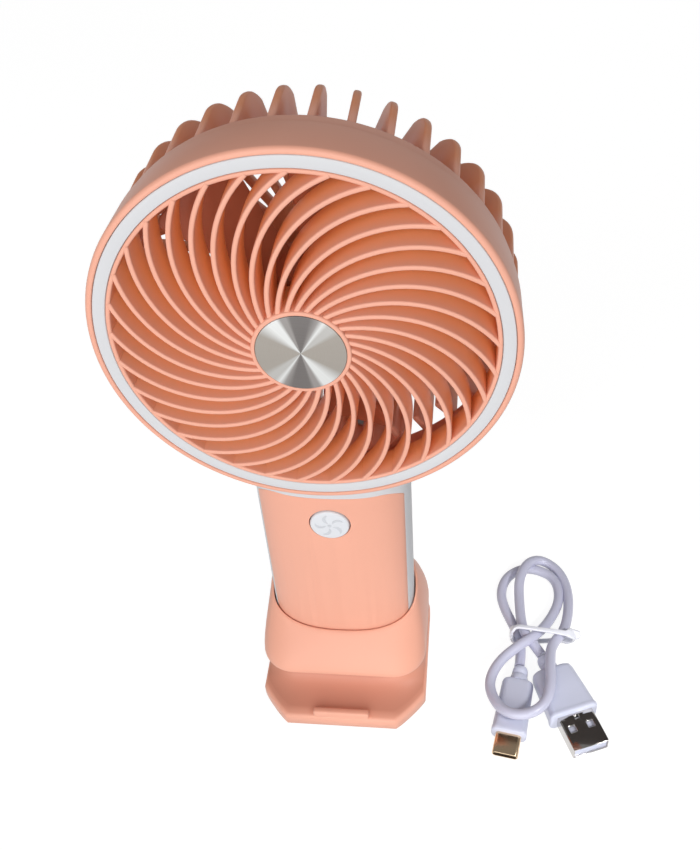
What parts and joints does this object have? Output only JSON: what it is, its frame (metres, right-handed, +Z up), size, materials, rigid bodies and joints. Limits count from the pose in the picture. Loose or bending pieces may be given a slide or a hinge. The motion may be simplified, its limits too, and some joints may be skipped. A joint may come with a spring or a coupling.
{
  "type": "handheld electric fan",
  "caption": "Battery handheld fan with a round head of curved grille vanes and an oval handle, standing in a lift-off base with a phone rest, with a tied charging lead beside it.",
  "frame": {"origin": "on the table, under the handle's axis, at the underside of the stand's pad", "axes": "+Z up along the handle, -Y the way the fan blows, +X to the right seen from the front"},
  "size_m": [0.138, 0.0846, 0.207],
  "materials": {
    "peach_plastic": "satin moulded ABS, peach",
    "pale_plastic": "satin moulded ABS, cool white",
    "button_plastic": "smooth moulded ABS, white",
    "pad_rubber": "soft non-slip rubber",
    "badge_steel": "spun finish about its centre",
    "screw_steel": "zinc plated",
    "cup_steel": "drawn steel",
    "shaft_steel": "ground steel",
    "magnet_ferrite": "sintered ferrite",
    "tube_brass": "turned brass",
    "lamination_steel": "stacked laminations",
    "winding_copper": "enamelled copper wire",
    "board_laminate": "solder masked glass epoxy laminate",
    "switch_black": "moulded black plastic",
    "socket_steel": "stamped and plated",
    "battery_sleeve": "shrink sleeve over a steel can",
    "tab_nickel": "nickel strip",
    "wire_jacket": "silicone wire jacket",
    "lead_jacket": "smooth soft cord jacket, lavender white",
    "tie_plastic": "soft plastic tie",
    "plug_a_steel": "bright nickel plate",
    "plug_c_gold": "pale gold plate",
    "grip_plastic": "smooth moulded grip"
  },
  "bodies": {
    "stand": {"stand_shell": "peach_plastic", "stand_base_plate": "peach_plastic", "stand_pad": "pad_rubber", "stand_screws": "screw_steel"},
    "fan_body": {"front_bezel": "peach_plastic", "trim_ring": "pale_plastic", "front_grille": "peach_plastic", "hub_badge": "badge_steel", "rear_shell": "peach_plastic", "motor_bearings": "shaft_steel", "bearing_tube": "tube_brass", "stator_core": "lamination_steel", "stator_windings": "winding_copper", "motor_board": "board_laminate", "motor_screws": "screw_steel", "neck_screws": "screw_steel", "handle_frame": "pale_plastic", "handle_front_panel": "peach_plastic", "handle_rear_panel": "peach_plastic", "button_switch": "switch_black", "control_board": "board_laminate", "charge_board": "board_laminate", "board_parts": "switch_black", "charge_socket": "socket_steel", "battery_cell": "battery_sleeve", "battery_tabs": "tab_nickel", "battery_leads": "wire_jacket", "motor_leads": "wire_jacket", "handle_screws": "screw_steel"},
    "impeller": {"impeller": "peach_plastic", "rotor_cup": "cup_steel", "rotor_magnet": "magnet_ferrite", "motor_shaft": "shaft_steel"},
    "power_button": {"power_button": "button_plastic"},
    "charging_lead": {"lead_hank": "lead_jacket", "cord_tie": "tie_plastic", "plug_a_shell": "plug_a_steel", "plug_a_grip": "grip_plastic", "plug_c_shell": "plug_c_gold", "plug_c_grip": "grip_plastic"}
  },
  "joints": [
    {"name": "fan_lift", "type": "slide", "parent": "stand", "child": "fan_body", "axis": [0, 0, 1], "range_m": [0, 0.045]},
    {"name": "impeller_spin", "type": "hinge", "parent": "fan_body", "child": "impeller", "pos_m": [0, 0, 0.155], "axis": [0, 1, 0], "continuous": true},
    {"name": "button_press", "type": "slide", "parent": "fan_body", "child": "power_button", "axis": [0, 1, 0], "range_m": [0, 0.0005], "stiffness_N_per_m": 600, "springref_m": -0.001},
    {"name": "lead_lift", "type": "slide", "parent": "stand", "child": "charging_lead", "axis": [0, 0, 1], "range_m": [0, 0.05]}
  ]
}
